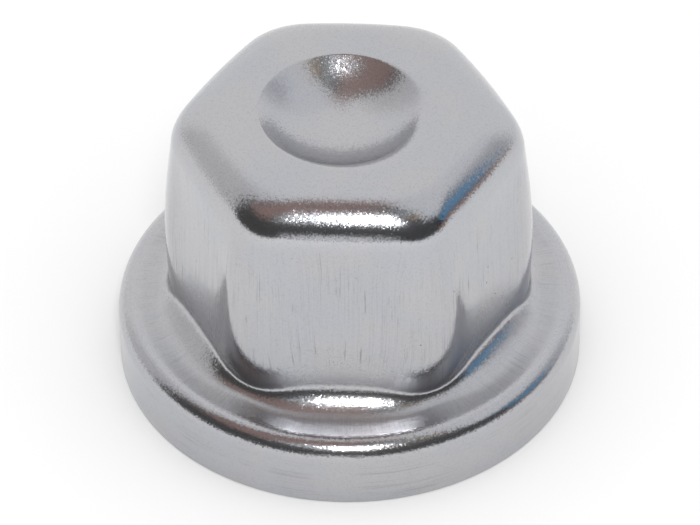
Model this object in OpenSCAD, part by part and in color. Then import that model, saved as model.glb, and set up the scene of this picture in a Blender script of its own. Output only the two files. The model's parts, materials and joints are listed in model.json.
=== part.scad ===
// Cover for a locking wheel nut, drawn in one piece from stainless steel sheet.
// A rounded hexagon cup has a dimple pressed into its flat top. At its foot the cup runs out
// through a cove into a coned flange, a rounded shoulder and an upright round rim.
// The origin is the centre of the rim's foot, Z is up, and a corner of the hexagon points along X.

/* [Hexagon] */
// Width across the flats at the foot of the walls
across_flats = 27; // [24:0.5:30]
// Height of the flat top above the rim's foot
total_height = 25; // [20:0.5:32]
// Lean of the walls towards the top, in degrees
wall_draft = 2.4; // [0.5:0.1:4]
// Radius of the hexagon's corners at the foot of the walls
corner_r_foot = 6.4; // [4.5:0.1:7.5]
// Radius of the corners at the walls' waist, halfway up, where they are sharpest
corner_r_waist = 4; // [2.5:0.1:4.5]
// Radius of the hexagon's corners at the top of the walls
corner_r_top = 4.7; // [4:0.1:7]
// Radius of the corners of the flat top's own outline
corner_r_flat = 7.8; // [4:0.1:8.6]
// Crown of the flats at the top of the walls: their turn from the middle to an end, in degrees
crown_turn = 4.7; // [0.5:0.1:8]
// Radius of the edge between the walls and the flat top
top_edge_r = 3.9; // [2:0.1:5]

/* [Dimple] */
// Diameter of the dimple where its lip turns into the bowl
dimple_d = 12.8; // [8:0.1:15]
// Steepest slope of the dimple's side, in degrees
dimple_slope = 45; // [20:1:50]
// Radius of the dimple's lip
dimple_lip_r = 1; // [0.9:0.1:2]

/* [Flange and rim] */
// Outside diameter of the rim
rim_d = 37.5; // [36:0.1:44]
// Height of the rim's straight wall
rim_height = 4.3; // [3:0.1:8]
// Outside radius of the shoulder between flange and rim
shoulder_r = 1.6; // [1.2:0.1:2.5]
// Fall of the flange towards the rim, in degrees
flange_slope = 9; // [4:1:15]
// Radius of the cove between the walls and the flange, below the middle of a flat
cove_r = 2.7; // [1.5:0.1:4]
// Radius of the cove below a corner
cove_r_corner = 1.2; // [0.9:0.1:2.5]
// Radius of the two edges of the rim's foot
foot_edge_r = 0.2; // [0.1:0.05:0.3]

/* [Sheet] */
// Thickness of the sheet
sheet_t = 0.7; // [0.5:0.05:0.9]

/* [Hidden] */
$fn = 128;

steel = [0.76, 0.77, 0.78];

// How the skin of the cup is divided
arc_steps = 5;
flat_steps = 6;
edge_steps = 6;
wall_steps = 6;
cove_steps = 6;
bowl_steps = 9;
lip_steps = 5;
shoulder_steps = 8;
foot_steps = 3;
per_side = arc_steps + flat_steps;
around = 6 * per_side;

// The cup enters the dimple's disc and the rim's flange by tongues of this length, this far inside
// their faces
lap = 0.2;
lap_inset = 0.01;

// The turn, in degrees, that stands for a straight flat
straight = 0.01;

rim_r = rim_d / 2;
foot_a = across_flats / 2;

// The shoulder's centre, and where the flange's upper face becomes tangent to it
shoulder_x = rim_r - shoulder_r;
flange_end_r = shoulder_x + shoulder_r * sin(flange_slope);
flange_end_z = rim_height + shoulder_r * cos(flange_slope);
flange_depth = sheet_t / cos(flange_slope);
join_r = flange_end_r - sheet_t * sin(flange_slope) - lap_inset;
neck_r = join_r - lap_inset;

// The dimple: its lip, its bowl, and the disc of the top that carries them
lip_start_r = dimple_d / 2 + dimple_lip_r * sin(dimple_slope);
lip_z = total_height - dimple_lip_r;
bowl_r = dimple_d / 2 / sin(dimple_slope);
bowl_z = lip_z + (dimple_lip_r + bowl_r) * cos(dimple_slope);

// The walls lean between the top edge and the cove, measured at the middle of a flat
edge_foot_z = total_height - top_edge_r * (1 - sin(wall_draft));
wall_run = (edge_foot_z - cove_top(-90, [0, -foot_a])) * tan(wall_draft);
flat_a = foot_a - wall_run - top_edge_r * cos(wall_draft);
disc_r = (lip_start_r + flat_a) / 2;

function heading(angle) = [cos(angle), sin(angle)];

// Height of the flange's upper face at radius r
function flange_z(r) = flange_end_z + (flange_end_r - r) * tan(flange_slope);

// Direction in which point j of the hexagon's outline faces, where each flat turns by turn either way
function facing(j, turn) =
    let (
        side = floor(j / per_side),
        i = j - side * per_side,
        arc_share = min(i / arc_steps, 1),
        flat_share = max(i - arc_steps, 0) / flat_steps
    )
    60 * side - 30 + turn + (60 - 2 * turn) * arc_share + 2 * turn * flat_share;

// Point j of a hexagon with the given inradius, corners rounded to r and crowned flats
function outline_point(inradius, r, turn, j) =
    let (
        side = floor(j / per_side),
        on_flat = j - side * per_side > arc_steps,
        corner_reach = (inradius - r) / (cos(30) + sin(30) * tan(turn / 2)),
        crown_r = r + corner_reach * sin(30) / sin(turn),
        centre = on_flat
            ? (inradius - crown_r) * heading(60 * side + 30)
            : corner_reach * heading(60 * side)
    )
    centre + (on_flat ? crown_r : r) * heading(facing(j, turn));

// The cove at the foot point p, which faces angle: where it ends, in degrees from upright
function cove_turn(angle, p) = 90 - atan(tan(flange_slope) * (p * heading(angle)) / norm(p));

// The cove's radius there, limited by the room that the flange leaves
function cove_radius(angle, p) =
    let (
        corner_share = pow((1 + cos(6 * atan2(p.y, p.x))) / 2, 2),
        r = cove_r + (cove_r_corner - cove_r) * corner_share,
        out = p * heading(angle),
        room = sqrt(out * out - p * p + neck_r * neck_r) - out - lap_inset
    )
    min(r, room / (cos(wall_draft) - cos(cove_turn(angle, p))));

// How far out the cove has run where its face tilts up by rise
function cove_out(angle, p, rise) = cove_radius(angle, p) * (cos(wall_draft) - cos(rise));

// How far down the cove has run there
function cove_down(angle, p, rise) = cove_radius(angle, p) * (sin(rise) - sin(wall_draft));

// Height at which the cove leaves the wall
function cove_top(angle, p) =
    let (turn = cove_turn(angle, p), end = p + cove_out(angle, p, turn) * heading(angle))
    flange_z(norm(end)) + cove_down(angle, p, turn);

// A point of the skin with the direction in which the skin faces there
function skin(p, z, angle, rise) = [[p.x, p.y, z], concat(heading(angle) * cos(rise), sin(rise))];

// Ring round the top edge where the skin tilts up by rise, from 90 on the flat to the walls' draft
function edge_ring(rise) =
    let (
        inradius = flat_a + top_edge_r * cos(rise),
        r = corner_r_flat + (corner_r_top - corner_r_flat) * cos(rise) / cos(wall_draft),
        z = total_height - top_edge_r * (1 - sin(rise))
    )
    [for (j = [0 : around - 1])
        skin(outline_point(inradius, min(r, inradius), crown_turn, j), z, facing(j, crown_turn), rise)];

// Radius of the corners at a share of the walls' height
function wall_corner_r(share) =
    let (end_r = share < 0.5 ? corner_r_foot : corner_r_top)
    corner_r_waist + (end_r - corner_r_waist) * pow(2 * share - 1, 2);

// Ring round the walls, at a share of their height from the cove to the top edge
function wall_ring(share) =
    let (turn = straight + (crown_turn - straight) * share)
    [for (j = [0 : around - 1])
        let (
            foot_p = outline_point(foot_a, corner_r_foot, straight, j),
            foot_z = cove_top(facing(j, straight), foot_p),
            p = outline_point(foot_a - wall_run * share, wall_corner_r(share), turn, j)
        )
        skin(p, foot_z + (edge_foot_z - foot_z) * share, facing(j, turn), wall_draft)];

// Ring round the cove, at a share of its turn from the wall to the flange
function cove_ring(share) =
    [for (j = [0 : around - 1])
        let (
            angle = facing(j, straight),
            p = outline_point(foot_a, corner_r_foot, straight, j),
            rise = wall_draft + (cove_turn(angle, p) - wall_draft) * share,
            z = cove_top(angle, p) - cove_down(angle, p, rise)
        )
        skin(p + cove_out(angle, p, rise) * heading(angle), z, angle, rise)];

// Round ring of radius r at height z, with its points in the directions of another ring's
function round_ring(r, z, ring) =
    [for (v = ring) let (p = v[0]) concat(r * heading(atan2(p.y, p.x)), z)];

function reversed(list) = [for (i = [len(list) - 1 : -1 : 0]) list[i]];

// The hexagon cup's wall with its cove and flange, as rings of points from the flat top, down the
// outside, round the flange's tongue, up the inside and round the tongue in the top's middle
module cup_skin() {
    rings = concat(
        [for (i = [0 : edge_steps]) edge_ring(90 + (wall_draft - 90) * i / edge_steps)],
        [for (i = [1 : wall_steps - 1]) wall_ring(1 - i / wall_steps)],
        [for (i = [0 : cove_steps]) cove_ring(i / cove_steps)]
    );
    flat_edge = rings[0];
    cove_end = rings[len(rings) - 1];
    flange_tip_r = join_r + lap;
    disc_tip_r = disc_r - lap;
    disc_tongue_z = total_height - sheet_t + lap_inset;
    outside = [for (ring = rings) [for (v = ring) v[0]]];
    inside = [for (ring = reversed(rings)) [for (v = ring) v[0] - sheet_t * v[1]]];
    flange_tongue = [
        round_ring(neck_r, flange_z(neck_r) - lap_inset, cove_end),
        round_ring(flange_tip_r, flange_z(flange_tip_r) - lap_inset, cove_end),
        round_ring(flange_tip_r, flange_z(flange_tip_r) - flange_depth + lap_inset, cove_end),
        round_ring(neck_r, flange_z(neck_r) - flange_depth + lap_inset, cove_end)
    ];
    disc_tongue = [
        round_ring(disc_r + lap_inset, disc_tongue_z, flat_edge),
        round_ring(disc_tip_r, disc_tongue_z, flat_edge),
        round_ring(disc_tip_r, total_height, flat_edge)
    ];
    all = concat(outside, flange_tongue, inside, disc_tongue);
    polyhedron(
        points = [for (ring = all) each ring],
        faces = [for (k = [0 : len(all) - 1], j = [0 : around - 1])
            let (
                next_j = (j + 1) % around,
                next_k = (k + 1) % len(all),
                a = k * around + j,
                b = k * around + next_j,
                c = next_k * around + next_j,
                d = next_k * around + j
            )
            each [[a, b, d], [b, c, d]]],
        convexity = 8
    );
}

// Points along an arc, after the first one
function arc(centre, r, from, to, steps) =
    [for (i = [1 : steps]) centre + r * heading(from + (to - from) * i / steps)];

// The disc in the top's middle, with the dimple's lip and bowl
module dimple_disc() {
    lip = [lip_start_r, lip_z];
    bowl = [0, bowl_z];
    rotate_extrude() polygon(concat(
        [[0, bowl_z - bowl_r - sheet_t]],
        arc(bowl, bowl_r + sheet_t, -90, dimple_slope - 90, bowl_steps),
        arc(lip, dimple_lip_r - sheet_t, 90 + dimple_slope, 90, lip_steps),
        [[disc_r, total_height - sheet_t], [disc_r, total_height], [lip_start_r, total_height]],
        arc(lip, dimple_lip_r, 90, 90 + dimple_slope, lip_steps),
        arc(bowl, bowl_r, dimple_slope - 90, -90, bowl_steps)
    ));
}

// The flange's outer strip, the shoulder and the rim, down to the rounded foot
module rim() {
    shoulder = [shoulder_x, rim_height];
    shoulder_in = shoulder_r - sheet_t;
    turn = 90 - flange_slope;
    rim_in = rim_r - sheet_t;
    rotate_extrude() polygon(concat(
        [[join_r, flange_z(join_r) - flange_depth], shoulder + shoulder_in * heading(turn)],
        arc(shoulder, shoulder_in, turn, 0, shoulder_steps),
        [[rim_in, foot_edge_r]],
        arc([rim_in + foot_edge_r, foot_edge_r], foot_edge_r, 180, 270, foot_steps),
        [[rim_r - foot_edge_r, 0]],
        arc([rim_r - foot_edge_r, foot_edge_r], foot_edge_r, 270, 360, foot_steps),
        [[rim_r, rim_height]],
        arc(shoulder, shoulder_r, 0, turn, shoulder_steps),
        [[join_r, flange_z(join_r)]]
    ));
}

module nut_cover() {
    color(steel) {
        cup_skin();
        dimple_disc();
        rim();
    }
}

nut_cover();
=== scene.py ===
"""Looks of a stainless steel cover for a locking wheel nut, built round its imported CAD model.

The cover is one piece of drawn sheet: a rounded hexagon cup with a dimpled top, a cove, a coned
flange, a shoulder and a round rim. Lengths are in metres, and MM turns millimetres into them.
"""

import json
import math

import bpy
import numpy as np
from mathutils import Matrix, Vector

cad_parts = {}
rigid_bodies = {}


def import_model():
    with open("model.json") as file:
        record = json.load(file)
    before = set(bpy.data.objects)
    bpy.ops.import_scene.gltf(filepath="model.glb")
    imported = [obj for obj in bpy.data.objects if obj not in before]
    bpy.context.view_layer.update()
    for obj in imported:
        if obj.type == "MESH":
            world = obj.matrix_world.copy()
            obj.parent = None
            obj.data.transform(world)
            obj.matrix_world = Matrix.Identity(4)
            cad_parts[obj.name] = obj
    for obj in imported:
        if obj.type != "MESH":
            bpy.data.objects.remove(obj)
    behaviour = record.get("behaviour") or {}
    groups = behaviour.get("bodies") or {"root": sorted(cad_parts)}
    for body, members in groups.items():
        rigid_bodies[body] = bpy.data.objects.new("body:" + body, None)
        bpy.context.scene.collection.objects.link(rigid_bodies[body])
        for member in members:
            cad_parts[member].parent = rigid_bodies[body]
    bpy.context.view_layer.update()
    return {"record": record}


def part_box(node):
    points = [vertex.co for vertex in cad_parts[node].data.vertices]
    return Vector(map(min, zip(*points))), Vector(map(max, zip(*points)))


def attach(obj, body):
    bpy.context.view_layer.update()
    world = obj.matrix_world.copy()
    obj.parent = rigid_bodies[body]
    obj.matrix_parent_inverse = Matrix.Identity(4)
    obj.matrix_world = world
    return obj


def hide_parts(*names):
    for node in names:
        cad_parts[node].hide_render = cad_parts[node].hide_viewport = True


MM = 0.001

for default_object in list(bpy.data.objects):
    bpy.data.objects.remove(default_object)
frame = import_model()

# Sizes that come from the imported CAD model
NODE = "nut_cover"
_, high_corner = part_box(NODE)
bore = next(m for m in frame["record"]["mounts"] if m["name"] == "rim_bore")
TOTAL_H = high_corner.z
RIM_R = high_corner.x
SHEET_T = RIM_R - bore["dims"]["r_mm"] * MM
BORE_H = bore["dims"]["length_mm"] * MM

# Sizes of the drawn form, the same as in the CAD model's source
SIDES = 6
SIDE_TURN = 2 * math.pi / SIDES
HALF_SIDE = math.pi / SIDES
ACROSS_FLATS = 27 * MM
WALL_DRAFT = math.radians(2.4)
CORNER_R_FOOT = 6.4 * MM
CORNER_R_WAIST = 4.0 * MM
CORNER_R_TOP = 4.7 * MM
CORNER_R_FLAT = 7.8 * MM
CROWN_TURN = math.radians(4.7)
STRAIGHT_TURN = math.radians(0.01)
TOP_EDGE_R = 3.9 * MM
EDGE_FOOT_Z = TOTAL_H - TOP_EDGE_R * (1 - math.sin(WALL_DRAFT))
SHOULDER_R = 1.6 * MM
COVE_R = 2.7 * MM
COVE_R_CORNER = 1.2 * MM
FOOT_EDGE_R = 0.2 * MM
RIM_H = BORE_H + FOOT_EDGE_R

# Finer forms that the mirrored light shows. The CAD model has a plainer form of each.
# The crown of the flats runs out down the walls, and halfway up the flats lie back and curl out
# towards the corners.
CROWN_POWER = 4
CURL = math.radians(11)
CURL_POWER = 4
CURLED_HALF = 5.0 * MM
HOLLOW = CURLED_HALF * math.tan(CURL) / (CURL_POWER + 1)
# The dimple has straight sides, lies a little off the middle, and has a lip that is softest at one side
DIMPLE_DEPTH = 2.85 * MM
DIMPLE_BOWL_R = 9.0 * MM
DIMPLE_SLOPE = math.radians(38.5)
DIMPLE_LIP_R = 1.0 * MM
DIMPLE_LIP_SPREAD = 1.35
DIMPLE_LIP_SOFTEST = math.radians(-45)
DIMPLE_X = -0.4 * MM
# The flange falls less and less towards the shoulder
FLANGE_FALL_IN = math.tan(math.radians(14))
FLANGE_FALL_OUT = math.tan(math.radians(1.5))
FLANGE_RUN = 1.9 * MM
FLANGE_TILT = math.atan(FLANGE_FALL_OUT)
FLANGE_END_R = RIM_R - SHOULDER_R * (1 - math.sin(FLANGE_TILT))
FLANGE_END_Z = RIM_H + SHOULDER_R * math.cos(FLANGE_TILT)
# The cove's radius changes by these factors as its face turns up
COVE_BEND_RISES = np.radians((2, 8, 12, 28, 45, 80))
COVE_BENDS = (3.0, 1.2, 0.5, 0.55, 1.25, 1.15)

# How finely the skin is divided
ARC_STEPS = 22
FLAT_STEPS = 22
BOWL_STEPS = 20
SIDE_STEPS = 4
LIP_STEPS = 10
TOP_STEPS = 5
EDGE_STEPS = 20
WALL_STEPS = 14
COVE_STEPS = 16
FLANGE_STEPS = 8
SHOULDER_STEPS = 14
RIM_STEPS = 6
FOOT_STEPS = 4

# How many rings the narrow zones of the finish have, and over how many either way zones are eased
EDGE_FOOT_RINGS = 7
WORN_RINGS = 2
BRUSHED_COVE_RINGS = 4
EASE_RINGS = 2

# The camera, from a model of the outline fitted to the photograph
IMAGE_W = 700
SENSOR_W = 36.0
FOCAL_PX = 5188.8
CAMERA_AZIMUTH = math.radians(3.28)
CAMERA_ELEVATION = math.radians(42.53)
CAMERA_ROLL = math.radians(-0.73)
CAMERA_DISTANCE = 418.8 * MM
CAMERA_NEAR = 10 * MM
AIM_Z = 8.63 * MM
AIM_SIDE = 0.075 * MM

# The steel's colours and roughness: what it starts from, and what haze, marks and wear add
STEEL_COOL = (0.468, 0.476, 0.506, 1)
STEEL_WARM = (0.492, 0.489, 0.504, 1)
STEEL_GRAIN = (0.37, 0.375, 0.385, 1)
STEEL_SCUFFED = (0.20, 0.20, 0.21, 1)
ROUGHNESS_SMOOTH = 0.10
ROUGHNESS_HAZE = 0.20
ROUGHNESS_MARK = 0.20
ROUGHNESS_WORN = 0.35

# The steel's grain, its clouds of warm and cool, the patches that hold most marks, and its pits.
# Levels are those of the noise between which each of them fades in.
GRAIN_SIZE = 0.085 * MM
GRAIN_TILT = 0.10
GRAIN_LEVELS = (0.7, 1.0)
GRAIN_SHARE = 0.5
CLOUD_SCALE = 0.16 / MM
CLOUD_DETAIL = 3.0
CLOUD_LEVELS = (0.35, 0.65)
PATCH_SCALE = 0.3 / MM
PATCH_LEVELS = (0.40, 0.62)
PIT_SCALE = 1.6 / MM
PIT_RADIUS = 0.16
PIT_CORE = 1 / 3
PIT_SHARE = 0.22

# Marks in the steel. For each kind: how close they lie round the shell and along its profile, per
# millimetre, the detail and roughness of their noise, and the levels between which they fade in.
STREAKS = {
    "lines": (6, 0.16, 3.0, 0.6, (0.57, 0.70)),
    "hairs": (15, 0.1, 2.0, 0.5, (0.50, 0.75)),
    "brush": (9, 0.35, 3.0, 0.6, (0.46, 0.70)),
    "rounds": (0.1, 7, 3.0, 0.6, (0.48, 0.72)),
    "creases": (1.6, 6, 3.0, 0.65, (0.55, 0.68)),
}
MARK_DEPTH = 0.006 * MM
HAIR_SHARE = 0.4
SCUFF_SHARE = 0.6
BRUSH_SHARE = 0.22
ROUND_SHARE = 0.3
CREASE_SHARE = 0.6

# For each zone, how much it bears marks of drawing along the walls, along the flange and round the rim
DRAWN = {
    "dimple": (0, 0, 0),
    "top": (0, 0, 0),
    "edge": (0, 0, 0),
    "edge_foot": (0, 0, 0),
    "wall": (1, 0, 0),
    "wall_foot": (1, 0, 0),
    "cove": (0.3, 0.3, 0),
    "flange": (0, 1, 0),
    "shoulder": (0, 0.2, 0.4),
    "rim": (0, 0, 1),
}

# For each zone, how grainy its metal was stretched, how hazy it is, and how worn its flats are
FINISH = {
    "dimple": (0.8, 0.6, 0),
    "top": (0.5, 0.5, 0),
    "edge": (0.9, 0.5, 0),
    "edge_foot": (0.4, 0.1, 0),
    "wall": (0.2, 0.0, 0),
    "wall_foot": (0.3, 0.0, 1),
    "cove": (0.9, 0.5, 0),
    "flange": (0.6, 1.4, 0),
    "shoulder": (1.0, 0.5, 0),
    "rim": (0.2, 0.4, 0),
}

# The light, and what the metal mirrors round it: the centre and half size of each patch as azimuth
# from the front and elevation in degrees, its softness and its colour
WHITE = (1, 1, 1, 1)
FLOOR_COLOUR = (0.87, 0.87, 0.87, 1)
FLOOR_HALF = 1.5
LAMP_AZIMUTH = math.radians(5.5)
LAMP_ELEVATION = math.radians(50.5)
LAMP_DISTANCE = 0.6
LAMP_HALF_W = math.radians(5.5)
LAMP_HALF_H = math.radians(7.5)
LAMP_RADIANCE = 23.0
STUDIO_PATCHES = (
    ((-104, 30), (20, 34), 0.55, (0.76, 0.75, 0.75)),
    ((104, 30), (20, 34), 0.55, (0.62, 0.62, 0.64)),
    ((-10, 47), (82, 45), 0.06, (0.09, 0.09, 0.09)),
    ((-3, 3), (7, 9), 0.50, (0.90, 0.90, 0.90)),
    ((97, 65), (39, 28), 0.12, (0.90, 0.91, 0.93)),
    ((-35, 76), (43, 16), 0.10, (0.38, 0.26, 0.23)),
    ((0, 92), (180, 9), 0.60, (0.38, 0.26, 0.23)),
    ((-60, 54), (22, 12), 0.20, (0.38, 0.26, 0.23)),
    ((30, 66), (18, 5), 0.40, (0.30, 0.36, 0.38)),
    ((86, 17), (18, 14), 0.08, (0.06, 0.06, 0.06)),
    ((88, 4), (17, 4), 0.30, (0.40, 0.27, 0.23)),
    ((91, 19), (12, 9), 0.10, (0.15, 0.36, 0.58)),
    ((51, 55), (7, 4), 0.40, (0.60, 0.38, 0.16)),
    ((-16, 51), (14, 9), 0.50, (0.60, 0.62, 0.62)),
)


def headings(angles):
    """Unit vectors in the plane, one for each angle."""
    return np.stack([np.cos(angles), np.sin(angles)], axis=-1)


def directions(points):
    """The angle at which each point of a ring lies round the axis."""
    return np.arctan2(points[:, 1], points[:, 0])


def side_steps():
    """For each point of the hexagon's outline: its corner's angle, its share of that corner's arc
    and its share of the flat that follows."""
    steps = np.arange(ARC_STEPS + FLAT_STEPS)
    arc_share = np.minimum(steps / ARC_STEPS, 1)
    flat_share = np.maximum(steps - ARC_STEPS, 0) / FLAT_STEPS
    corner = np.repeat(SIDE_TURN * np.arange(SIDES), len(steps))
    return corner, np.tile(arc_share, SIDES), np.tile(flat_share, SIDES)


def facing(turn):
    """Direction in which each point of the outline faces, where each flat turns by turn either way."""
    corner, arc_share, flat_share = side_steps()
    on_arc = corner - HALF_SIDE + turn + (SIDE_TURN - 2 * turn) * arc_share
    return on_arc + 2 * turn * flat_share


def outline(inradius, corner_r, turn):
    """Points of a hexagon with rounded corners and crowned flats."""
    corner, _, flat_share = side_steps()
    half_sin = math.sin(HALF_SIDE)
    reach = (inradius - corner_r) / (math.cos(HALF_SIDE) + half_sin * math.tan(turn / 2))
    crown_r = corner_r + half_sin * reach / math.sin(turn)
    on_flat = (flat_share > 0)[:, None]
    crown_centre = (inradius - crown_r) * headings(corner + HALF_SIDE)
    centre = np.where(on_flat, crown_centre, reach * headings(corner))
    return centre + np.where(on_flat, crown_r, corner_r) * headings(facing(turn))


def wall_outline(inradius, corner_r, crown, curl):
    """Points of a hexagon whose flats are crowned and curl out towards its corners, and where they
    face. Crown and curl are the angles by which each would turn the ends of the flats."""
    corner, arc_share, flat_share = side_steps()
    crown_slope = math.tan(crown)
    curl_slope = math.tan(curl)
    turn = math.atan(crown_slope - curl_slope)
    half_sin = math.sin(HALF_SIDE)
    end_rise = curl_slope / (CURL_POWER + 1) - crown_slope / 2
    arc_height = corner_r * (math.cos(turn) - end_rise * math.sin(turn))
    reach = (inradius - arc_height) / (math.cos(HALF_SIDE) - half_sin * end_rise)
    half_flat = half_sin * reach + corner_r * math.sin(turn)
    across = 2 * flat_share - 1
    curl_slopes = curl_slope * np.abs(across) ** CURL_POWER
    slopes = curl_slopes * np.sign(across) - crown_slope * across
    rises = curl_slopes * np.abs(across) / (CURL_POWER + 1) - crown_slope * across**2 / 2
    middle = corner + HALF_SIDE
    outward = (inradius + half_flat * rises)[:, None] * headings(middle)
    flats = outward + (half_flat * across)[:, None] * headings(middle + math.pi / 2)
    arc_angles = corner - HALF_SIDE + turn + (SIDE_TURN - 2 * turn) * arc_share
    arcs = reach * headings(corner) + corner_r * headings(arc_angles)
    on_flat = flat_share > 0
    angles = np.where(on_flat, middle - np.arctan(slopes), arc_angles)
    return np.where(on_flat[:, None], flats, arcs), angles


def skin(points, z, angles, rise):
    """A ring of the outside: its points, and the directions in which the skin faces there."""
    count = len(points)
    ring = np.column_stack([points, np.broadcast_to(z, count)])
    flat = headings(angles) * np.cos(np.broadcast_to(rise, count))[:, None]
    return ring, np.column_stack([flat, np.broadcast_to(np.sin(rise), count)])


def flange_fall(r):
    """How steeply the flange's upper face falls at radius r. It eases off towards the shoulder."""
    share = (FLANGE_END_R - r) / FLANGE_RUN
    return FLANGE_FALL_OUT + (FLANGE_FALL_IN - FLANGE_FALL_OUT) * share**2


def flange_height(r):
    """Height of the flange's upper face at radius r, which is the sum of its fall from there outward."""
    mean_fall = (2 * FLANGE_FALL_OUT + flange_fall(r)) / 3
    return FLANGE_END_Z + (FLANGE_END_R - r) * mean_fall


def summed(values, places):
    """Running sum of values over places, down each column."""
    steps = (values[1:] + values[:-1]) / 2 * np.diff(places, axis=0)
    return np.vstack([np.zeros(values.shape[1]), np.cumsum(steps, axis=0)])


def cove_rings():
    """Rings of the cove from the walls' foot to the flange, tighter below the hexagon's corners."""
    angles = facing(STRAIGHT_TURN)
    foot = outline(ACROSS_FLATS / 2, CORNER_R_FOOT, STRAIGHT_TURN)
    lean = np.sum(foot * headings(angles), axis=1) / np.linalg.norm(foot, axis=1)
    corner_share = ((1 + np.cos(SIDES * directions(foot))) / 2) ** 2
    cove_r = COVE_R + (COVE_R_CORNER - COVE_R) * corner_share
    end_r = np.linalg.norm(foot + cove_r[:, None] * headings(angles), axis=1)
    turn = math.pi / 2 - np.arctan(flange_fall(end_r) * lean)
    shares = np.linspace(0, 1, COVE_STEPS + 1)
    rises = WALL_DRAFT + (turn - WALL_DRAFT) * shares[:, None]
    bends = cove_r * np.interp(rises, COVE_BEND_RISES, COVE_BENDS)
    outward = summed(bends * np.sin(rises), rises)
    downward = summed(bends * np.cos(rises), rises)
    end = foot + outward[-1][:, None] * headings(angles)
    top = flange_height(np.linalg.norm(end, axis=1)) + downward[-1]
    return [skin(foot + run[:, None] * headings(angles), top - drop, angles, rise)
            for run, drop, rise in zip(outward, downward, rises)]


def wall_rings(foot_z, lean):
    """Rings of the walls from the top edge down to the cove, without those two.

    The corners are sharpest at the waist, halfway up, and open out towards the top and the foot."""
    rings = []
    for share in np.linspace(1, 0, WALL_STEPS + 1)[1:-1]:
        waist_share = 4 * share * (1 - share)
        crown = STRAIGHT_TURN + (CROWN_TURN - STRAIGHT_TURN) * share**CROWN_POWER
        end_r = CORNER_R_FOOT if share < 0.5 else CORNER_R_TOP
        corner_r = CORNER_R_WAIST + (end_r - CORNER_R_WAIST) * (2 * share - 1) ** 2
        inradius = ACROSS_FLATS / 2 - lean * share - HOLLOW * waist_share
        points, angles = wall_outline(inradius, corner_r, crown, CURL * waist_share)
        z = foot_z + (EDGE_FOOT_Z - foot_z) * share
        rings.append(skin(points, z, angles, WALL_DRAFT))
    return rings


def edge_rings(flat_inradius):
    """Rings of the rounded edge from the flat top to the walls."""
    rings = []
    for rise in np.linspace(math.pi / 2, WALL_DRAFT, EDGE_STEPS + 1):
        share = math.cos(rise) / math.cos(WALL_DRAFT)
        inradius = flat_inradius + TOP_EDGE_R * math.cos(rise)
        corner_r = CORNER_R_FLAT + (CORNER_R_TOP - CORNER_R_FLAT) * share
        points = outline(inradius, corner_r, CROWN_TURN)
        z = TOTAL_H - TOP_EDGE_R * (1 - math.sin(rise))
        rings.append(skin(points, z, facing(CROWN_TURN), rise))
    return rings


def between(first, last, steps):
    """Rings that run straight from one ring to another, without those two."""
    rings = []
    for share in np.linspace(0, 1, steps + 1)[1:-1]:
        normals = first[1] + (last[1] - first[1]) * share
        normals /= np.linalg.norm(normals, axis=1)[:, None]
        rings.append((first[0] + (last[0] - first[0]) * share, normals))
    return rings


def dimple_rings(angles):
    """Rings of the dimple from its middle to the flat top: a round bowl, straight sides and the lip."""
    floor_z = TOTAL_H - DIMPLE_DEPTH
    bowl_end = DIMPLE_BOWL_R * math.sin(DIMPLE_SLOPE)
    bowl_rise = DIMPLE_BOWL_R * (1 - math.cos(DIMPLE_SLOPE))
    lip_r = DIMPLE_LIP_R * np.exp(DIMPLE_LIP_SPREAD * np.cos(angles - DIMPLE_LIP_SOFTEST))
    lip_drop = lip_r * (1 - math.cos(DIMPLE_SLOPE))
    side_end = bowl_end + (DIMPLE_DEPTH - bowl_rise - lip_drop) / math.tan(DIMPLE_SLOPE)
    lip_end = side_end + lip_r * math.sin(DIMPLE_SLOPE)
    profile = []
    for tilt in np.linspace(0, DIMPLE_SLOPE, BOWL_STEPS + 1)[1:]:
        z = floor_z + DIMPLE_BOWL_R * (1 - math.cos(tilt))
        profile.append((DIMPLE_BOWL_R * math.sin(tilt), z, tilt))
    for share in np.linspace(0, 1, SIDE_STEPS + 1)[1:-1]:
        r = bowl_end + (side_end - bowl_end) * share
        z = floor_z + bowl_rise + (r - bowl_end) * math.tan(DIMPLE_SLOPE)
        profile.append((r, z, DIMPLE_SLOPE))
    for tilt in np.linspace(DIMPLE_SLOPE, 0, LIP_STEPS + 1):
        z = TOTAL_H - lip_r * (1 - math.cos(tilt))
        profile.append((lip_end - lip_r * math.sin(tilt), z, tilt))
    rings = []
    for r, z, tilt in profile:
        points = (DIMPLE_X, 0) + np.broadcast_to(r, len(angles))[:, None] * headings(angles)
        rings.append(skin(points, z, angles, math.pi / 2 + tilt))
    return rings, floor_z


def flange_rings(inner, angles):
    """Rings of the flange between the cove's end and the shoulder, without those two."""
    inner_r = np.linalg.norm(inner[:, :2], axis=1)
    rings = []
    for share in np.linspace(0, 1, FLANGE_STEPS + 1)[1:-1]:
        r = inner_r + (FLANGE_END_R - inner_r) * share
        rise = math.pi / 2 - np.arctan(flange_fall(r))
        rings.append(skin(r[:, None] * headings(angles), flange_height(r), angles, rise))
    return rings


def round_rings(angles):
    """Rings of the shoulder and the rim, down to the rim's foot."""
    rings = []
    for rise in np.linspace(math.pi / 2 - FLANGE_TILT, 0, SHOULDER_STEPS + 1):
        r = RIM_R - SHOULDER_R * (1 - math.cos(rise))
        rings.append(skin(r * headings(angles), RIM_H + SHOULDER_R * math.sin(rise), angles, rise))
    for z in np.linspace(RIM_H, FOOT_EDGE_R, RIM_STEPS + 1)[1:]:
        rings.append(skin(RIM_R * headings(angles), z, angles, 0.0))
    return rings


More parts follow.
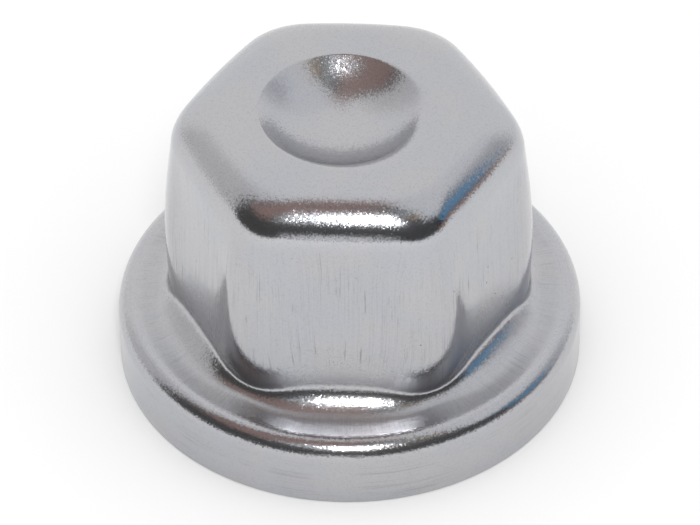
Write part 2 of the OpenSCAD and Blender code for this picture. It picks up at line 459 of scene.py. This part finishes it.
def foot_rings(angles):
    """Points of the rim's rounded foot, from the outside round to the inside."""
    rings = []
    for centre_r, start in ((RIM_R - FOOT_EDGE_R, 0), (RIM_R - SHEET_T + FOOT_EDGE_R, -90)):
        for turn in np.radians(start - 90 * np.linspace(0, 1, FOOT_STEPS + 1)):
            r = centre_r + FOOT_EDGE_R * math.cos(turn)
            z = FOOT_EDGE_R * (1 + math.sin(turn))
            rings.append(np.column_stack([r * headings(angles), np.full(len(angles), z)]))
    return rings[1:-1]


def shell_zones():
    """The rings of the outside, in zones from the dimple to the rim, the angles at which the rim's
    points lie, and the height of the dimple's floor."""
    cove = cove_rings()
    wall_foot = cove[0][0]
    middle = ARC_STEPS + FLAT_STEPS // 2
    lean = (EDGE_FOOT_Z - wall_foot[middle, 2]) * math.tan(WALL_DRAFT)
    edge = edge_rings(ACROSS_FLATS / 2 - lean - TOP_EDGE_R * math.cos(WALL_DRAFT))
    rim_angles = directions(cove[-1][0])
    dimple, dimple_floor = dimple_rings(directions(edge[0][0]))
    rounded = round_rings(rim_angles)
    walls = wall_rings(wall_foot[:, 2], lean)
    zones = {
        "dimple": dimple,
        "top": between(dimple[-1], edge[0], TOP_STEPS),
        "edge": edge[:-EDGE_FOOT_RINGS],
        "edge_foot": edge[-EDGE_FOOT_RINGS:],
        "wall": walls[:-WORN_RINGS],
        "wall_foot": walls[-WORN_RINGS:],
        "cove": cove[:-BRUSHED_COVE_RINGS],
        "flange": cove[-BRUSHED_COVE_RINGS:] + flange_rings(cove[-1][0], rim_angles),
        "shoulder": rounded[:SHOULDER_STEPS],
        "rim": rounded[SHOULDER_STEPS:],
    }
    return zones, rim_angles, dimple_floor


def ring_values(zones, table):
    """For each ring of the outside, its zone's row of the table, eased from zone to zone."""
    rows = np.array([table[name] for name, rings in zones.items() for _ in rings], float)
    padded = np.pad(rows, ((EASE_RINGS, EASE_RINGS), (0, 0)), mode="edge")
    window = 2 * EASE_RINGS + 1
    return sum(padded[k:k + len(rows)] for k in range(window)) / window


def add_point_vectors(mesh, name, vectors):
    """A vector for each point of the mesh, for its material to read."""
    attribute = mesh.attributes.new(name, "FLOAT_VECTOR", "POINT")
    attribute.data.foreach_set("vector", np.asarray(vectors, np.float32).ravel())


def shell_mesh(rings, ends):
    """A smooth closed mesh through the rings, whose first and last close on the two end points."""
    around = len(rings[0])
    j = np.arange(around)
    j_next = (j + 1) % around
    faces = []
    for k in range(len(rings) - 1):
        upper = k * around
        lower = upper + around
        faces += np.column_stack([upper + j, lower + j, lower + j_next, upper + j_next]).tolist()
    last = (len(rings) - 1) * around
    first_end = last + around
    faces += np.column_stack([j, j_next, np.full(around, first_end)]).tolist()
    faces += np.column_stack([last + j_next, last + j, np.full(around, first_end + 1)]).tolist()
    mesh = bpy.data.meshes.new("cover_shell")
    mesh.from_pydata(np.vstack([*rings, ends]).tolist(), [], faces)
    mesh.update()
    mesh.polygons.foreach_set("use_smooth", [True] * len(mesh.polygons))
    return mesh


def build_shell():
    """The cover as one closed mesh: the outside down to the foot, round it and up the inside.

    Its points carry how they were drawn and finished, and a flow whose third part runs along the
    profile, as the metal was drawn, while the first two run round it."""
    zones, rim_angles, dimple_floor = shell_zones()
    outside = [ring for rings in zones.values() for ring in rings]
    foot = foot_rings(rim_angles)
    inside = [points - SHEET_T * normals for points, normals in reversed(outside)]
    rings = [points for points, _ in outside] + foot + inside
    ends = [(DIMPLE_X, 0, dimple_floor), (DIMPLE_X, 0, dimple_floor - SHEET_T)]
    mesh = shell_mesh(rings, ends)

    around = len(rim_angles)
    flat_share = np.tile((1 - np.cos(SIDES * rim_angles)) / 2, len(rings))
    for name, table in (("drawn", DRAWN), ("finish", FINISH)):
        rows = ring_values(zones, table)
        rows = np.vstack([rows, np.repeat(rows[-1:], len(foot), axis=0), rows[::-1]])
        rows = np.repeat(rows, around, axis=0)
        if name == "finish":
            rows[:, 2] *= flat_share
        add_point_vectors(mesh, name, np.vstack([rows, rows[:1], rows[:1]]))
    steps = [np.linalg.norm(b - a, axis=1).mean() for a, b in zip(rings, rings[1:])]
    along = np.repeat(np.concatenate([[0], np.cumsum(steps)]), around)
    circle = np.tile(RIM_R * headings(rim_angles), (len(rings), 1))
    flow = np.column_stack([circle, along])
    add_point_vectors(mesh, "flow", np.vstack([flow, np.zeros((len(ends), 3))]))
    cover = bpy.data.objects.new("cover_shell", mesh)
    bpy.context.scene.collection.objects.link(cover)
    return cover


def place_camera():
    """The camera at the photograph's viewing angle."""
    flat = headings(CAMERA_AZIMUTH - math.pi / 2) * math.cos(CAMERA_ELEVATION)
    back = Vector((*flat, math.sin(CAMERA_ELEVATION)))
    right = Vector((*headings(CAMERA_AZIMUTH), 0))
    up = back.cross(right)
    rolled_right = right * math.cos(CAMERA_ROLL) + up * math.sin(CAMERA_ROLL)
    rolled_up = up * math.cos(CAMERA_ROLL) - right * math.sin(CAMERA_ROLL)
    place = Vector((0, 0, AIM_Z)) + back * CAMERA_DISTANCE + rolled_right * AIM_SIDE
    data = bpy.data.cameras.new("camera")
    data.sensor_width = SENSOR_W
    data.lens = FOCAL_PX * SENSOR_W / IMAGE_W
    data.clip_start = CAMERA_NEAR
    camera = bpy.data.objects.new("camera", data)
    bpy.context.scene.collection.objects.link(camera)
    axes = Matrix((rolled_right, rolled_up, back)).transposed()
    camera.matrix_world = Matrix.Translation(place) @ axes.to_4x4()
    bpy.context.scene.camera = camera


def add_node(tree, kind, inputs=None, **settings):
    """A new node with its settings, and with its inputs set to values or linked to sockets."""
    made = tree.nodes.new("ShaderNode" + kind)
    for name, value in settings.items():
        setattr(made, name, value)
    for key, value in (inputs or {}).items():
        if isinstance(value, bpy.types.NodeSocket):
            tree.links.new(value, made.inputs[key])
        else:
            made.inputs[key].default_value = value
    return made


def combine(tree, operation, *values):
    """The result of a math node."""
    return add_node(tree, "Math", dict(enumerate(values)), operation=operation).outputs[0]


def product(tree, first, *others):
    """All the values multiplied."""
    for value in others:
        first = combine(tree, "MULTIPLY", first, value)
    return first


def largest(tree, first, *others):
    """The largest of the values."""
    for value in others:
        first = combine(tree, "MAXIMUM", first, value)
    return first


def vectors(tree, operation, *values):
    """The result of a vector math node."""
    return add_node(tree, "VectorMath", dict(enumerate(values)), operation=operation).outputs[0]


def ramp(tree, value, low, high):
    """A smooth step from 0 at low to 1 at high."""
    inputs = {"Value": value, "From Min": low, "From Max": high, "To Min": 0.0, "To Max": 1.0}
    return add_node(tree, "MapRange", inputs, interpolation_type="SMOOTHSTEP").outputs[0]


def mixed(tree, share, first, second):
    """One colour mixed into another by share. Inputs 0, 6 and 7 are the node's share and colours."""
    return add_node(tree, "Mix", {0: share, 6: first, 7: second}, data_type="RGBA").outputs[2]


def noise(tree, vector, scale, detail=2.0, roughness=0.5):
    """Noise between 0 and 1."""
    inputs = {"Vector": vector, "Scale": scale, "Detail": detail, "Roughness": roughness}
    return add_node(tree, "TexNoise", inputs).outputs[0]


def streaks(tree, flow, kind):
    """Marks of one kind, long along the shell's profile or round it."""
    around, along, detail, roughness, levels = STREAKS[kind]
    stretched = vectors(tree, "MULTIPLY", flow, (around / MM, around / MM, along / MM))
    return ramp(tree, noise(tree, stretched, 1.0, detail, roughness), *levels)


def spots(tree, vector, scale, radius, share):
    """Small round spots in a share of the cells that fill space."""
    cells = add_node(tree, "TexVoronoi", {"Vector": vector, "Scale": scale})
    dots = ramp(tree, cells.outputs["Distance"], radius, radius * PIT_CORE)
    chosen = add_node(tree, "SeparateColor", {0: cells.outputs["Color"]}).outputs[0]
    return product(tree, dots, combine(tree, "LESS_THAN", chosen, share))


def tilted(tree, crystal, tilt):
    """The skin's normal, tilted by a little in most crystals of the grain and by up to tilt in a few."""
    lean = vectors(tree, "MULTIPLY_ADD", crystal, (2, 2, 2), (-1, -1, -1))
    cube = vectors(tree, "MULTIPLY", vectors(tree, "MULTIPLY", lean, lean), lean)
    push = add_node(tree, "VectorMath", {0: cube, "Scale": tilt}, operation="SCALE").outputs[0]
    normal = add_node(tree, "NewGeometry").outputs["Normal"]
    return vectors(tree, "NORMALIZE", vectors(tree, "ADD", normal, push))


def steel_material():
    """Satin stainless steel: grainy where it was stretched, with draw marks, brush lines and small pits."""
    material = bpy.data.materials.new("satin_stainless")
    material.use_nodes = True
    tree = material.node_tree
    tree.nodes.clear()
    place = add_node(tree, "TexCoord").outputs["Object"]
    flow = add_node(tree, "Attribute", attribute_name="flow").outputs["Vector"]
    drawn = add_node(tree, "Attribute", attribute_name="drawn").outputs["Vector"]
    wall, flange, rim = add_node(tree, "SeparateXYZ", {0: drawn}).outputs
    finish = add_node(tree, "Attribute", attribute_name="finish").outputs["Vector"]
    stretch, haze, worn = add_node(tree, "SeparateXYZ", {0: finish}).outputs

    patches = ramp(tree, noise(tree, place, PATCH_SCALE), *PATCH_LEVELS)
    lines = product(tree, streaks(tree, flow, "lines"), patches)
    hairs = product(tree, streaks(tree, flow, "hairs"), HAIR_SHARE)
    pits = spots(tree, place, PIT_SCALE, PIT_RADIUS, PIT_SHARE)
    marks = largest(
        tree,
        product(tree, largest(tree, lines, hairs), wall, SCUFF_SHARE),
        product(tree, streaks(tree, flow, "brush"), flange, BRUSH_SHARE),
        product(tree, streaks(tree, flow, "rounds"), rim, patches, ROUND_SHARE),
        product(tree, pits, wall, patches),
        product(tree, streaks(tree, flow, "creases"), worn, CREASE_SHARE),
    )

    crystal = add_node(tree, "TexVoronoi", {"Vector": place, "Scale": 1 / GRAIN_SIZE}).outputs["Color"]
    shade = add_node(tree, "SeparateColor", {0: crystal}).outputs[2]
    clouds = noise(tree, place, CLOUD_SCALE, CLOUD_DETAIL)
    colour = mixed(tree, ramp(tree, clouds, *CLOUD_LEVELS), STEEL_COOL, STEEL_WARM)
    grain_share = product(tree, ramp(tree, shade, *GRAIN_LEVELS), GRAIN_SHARE)
    colour = mixed(tree, grain_share, colour, STEEL_GRAIN)
    colour = mixed(tree, marks, colour, STEEL_SCUFFED)
    roughness = combine(tree, "MULTIPLY_ADD", haze, ROUGHNESS_HAZE, ROUGHNESS_SMOOTH)
    roughness = combine(tree, "MULTIPLY_ADD", marks, ROUGHNESS_MARK, roughness)
    roughness = combine(tree, "MULTIPLY_ADD", worn, ROUGHNESS_WORN, roughness)
    normal = tilted(tree, crystal, product(tree, stretch, GRAIN_TILT))
    relief = {"Strength": 1.0, "Distance": MARK_DEPTH, "Height": marks, "Normal": normal}
    scored = add_node(tree, "Bump", relief, invert=True).outputs[0]
    surface = {"Base Color": colour, "Metallic": 1.0, "Roughness": roughness, "Normal": scored}
    steel = add_node(tree, "BsdfPrincipled", surface)
    add_node(tree, "OutputMaterial", {"Surface": steel.outputs[0]})
    return material


def build_world():
    """Soft white light from all round. The metal also mirrors the dark opening that the camera looks
    through, with the few things in it."""
    world = bpy.data.worlds.new("studio")
    bpy.context.scene.world = world
    world.use_nodes = True
    world.cycles.sampling_method = "NONE"
    tree = world.node_tree
    tree.nodes.clear()
    direction = add_node(tree, "TexCoord").outputs["Generated"]
    x, y, z = add_node(tree, "SeparateXYZ", {0: direction}).outputs
    azimuth = combine(tree, "ARCTAN2", x, combine(tree, "MULTIPLY", y, -1.0))
    elevation = combine(tree, "ARCSINE", z)
    colour = WHITE
    for centre, size, softness, paint in STUDIO_PATCHES:
        away = []
        for angle, middle, half in zip((azimuth, elevation), np.radians(centre), np.radians(size)):
            offset = combine(tree, "SUBTRACT", angle, middle)
            away.append(combine(tree, "ABSOLUTE", combine(tree, "DIVIDE", offset, half)))
        share = ramp(tree, largest(tree, *away), 1 + softness, 1 - softness)
        colour = mixed(tree, share, colour, (*paint, 1))
    glossy = add_node(tree, "LightPath").outputs["Is Glossy Ray"]
    light = add_node(tree, "Background", {"Color": mixed(tree, glossy, WHITE, colour), "Strength": 1.0})
    add_node(tree, "OutputWorld", {"Surface": light.outputs[0]})


def build_floor():
    """A pale floor that keeps the cover's shadow."""
    mesh = bpy.data.meshes.new("floor")
    corners = [(x * FLOOR_HALF, y * FLOOR_HALF, 0) for x, y in ((-1, -1), (1, -1), (1, 1), (-1, 1))]
    mesh.from_pydata(corners, [], [(0, 1, 2, 3)])
    material = bpy.data.materials.new("pale_floor")
    material.use_nodes = True
    tree = material.node_tree
    tree.nodes.clear()
    paper = add_node(tree, "BsdfDiffuse", {"Color": FLOOR_COLOUR})
    add_node(tree, "OutputMaterial", {"Surface": paper.outputs[0]})
    mesh.materials.append(material)
    floor = bpy.data.objects.new("floor", mesh)
    bpy.context.scene.collection.objects.link(floor)


def add_lamp():
    """A small soft lamp just above the camera."""
    data = bpy.data.lights.new("lamp", "AREA")
    data.shape = "ELLIPSE"
    data.size = 2 * LAMP_DISTANCE * math.tan(LAMP_HALF_W)
    data.size_y = 2 * LAMP_DISTANCE * math.tan(LAMP_HALF_H)
    area = math.pi * data.size * data.size_y / 4
    data.energy = LAMP_RADIANCE * math.pi * area
    lamp = bpy.data.objects.new("lamp", data)
    flat = headings(LAMP_AZIMUTH - math.pi / 2) * math.cos(LAMP_ELEVATION)
    lamp.location = LAMP_DISTANCE * Vector((*flat, math.sin(LAMP_ELEVATION)))
    lamp.rotation_euler = lamp.location.to_track_quat("Z", "Y").to_euler()
    bpy.context.scene.collection.objects.link(lamp)


shell = build_shell()
shell.data.materials.append(steel_material())
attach(shell, "root")
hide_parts(NODE)
build_floor()
build_world()
add_lamp()
place_camera()

scene = bpy.context.scene
scene.view_settings.view_transform = "Standard"
